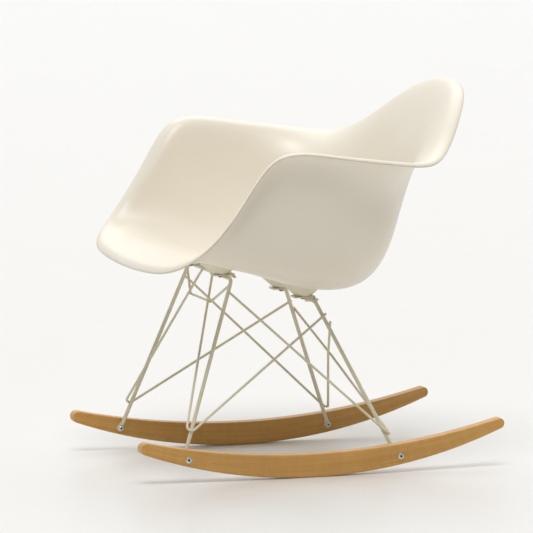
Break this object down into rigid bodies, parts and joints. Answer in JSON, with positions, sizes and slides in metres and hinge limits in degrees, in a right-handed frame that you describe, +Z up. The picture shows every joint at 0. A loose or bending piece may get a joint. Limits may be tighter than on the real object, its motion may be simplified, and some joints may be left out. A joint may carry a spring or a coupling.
{
  "type": "rocking armchair",
  "caption": "Rocking armchair: moulded one-piece seat with arms on a welded wire base with two bent wooden rockers.",
  "frame": {"origin": "on the floor, at the middle of the chair's width and of the rockers' length", "axes": "+Z up; the sitter faces -Y; +X is the sitter's left"},
  "size_m": [0.6394, 0.69, 0.6868],
  "materials": {
    "shell_plastic": "smooth satin, cream",
    "mount_plastic": "matte, seat-coloured",
    "base_steel": "powder coat, pale grey-beige, satin",
    "screw_steel": "zinc plated",
    "rocker_wood": "clear satin lacquer on pale hardwood"
  },
  "bodies": {
    "root": {"seat_shell": "shell_plastic", "rocker_left": "rocker_wood", "rear_leg_left": "base_steel", "front_diagonal_wire_left": "base_steel", "rear_diagonal_wire_left": "base_steel", "shock_mount_front_left": "mount_plastic", "mount_plate_front_left": "base_steel", "mount_screw_front_left": "screw_steel", "barrel_nut_front_left": "screw_steel", "foot_screw_front_left": "screw_steel", "shock_mount_rear_left": "mount_plastic", "mount_plate_rear_left": "base_steel", "mount_screw_rear_left": "screw_steel", "barrel_nut_rear_left": "screw_steel", "foot_screw_rear_left": "screw_steel", "rocker_right": "rocker_wood", "rear_leg_right": "base_steel", "front_diagonal_wire_right": "base_steel", "rear_diagonal_wire_right": "base_steel", "shock_mount_front_right": "mount_plastic", "mount_plate_front_right": "base_steel", "mount_screw_front_right": "screw_steel", "barrel_nut_front_right": "screw_steel", "foot_screw_front_right": "screw_steel", "shock_mount_rear_right": "mount_plastic", "mount_plate_rear_right": "base_steel", "mount_screw_rear_right": "screw_steel", "barrel_nut_rear_right": "screw_steel", "foot_screw_rear_right": "screw_steel", "front_leg_frame": "base_steel", "front_trapezoid_wire": "base_steel", "front_cross_bar": "base_steel", "rear_cross_bar": "base_steel"}
  },
  "joints": []
}
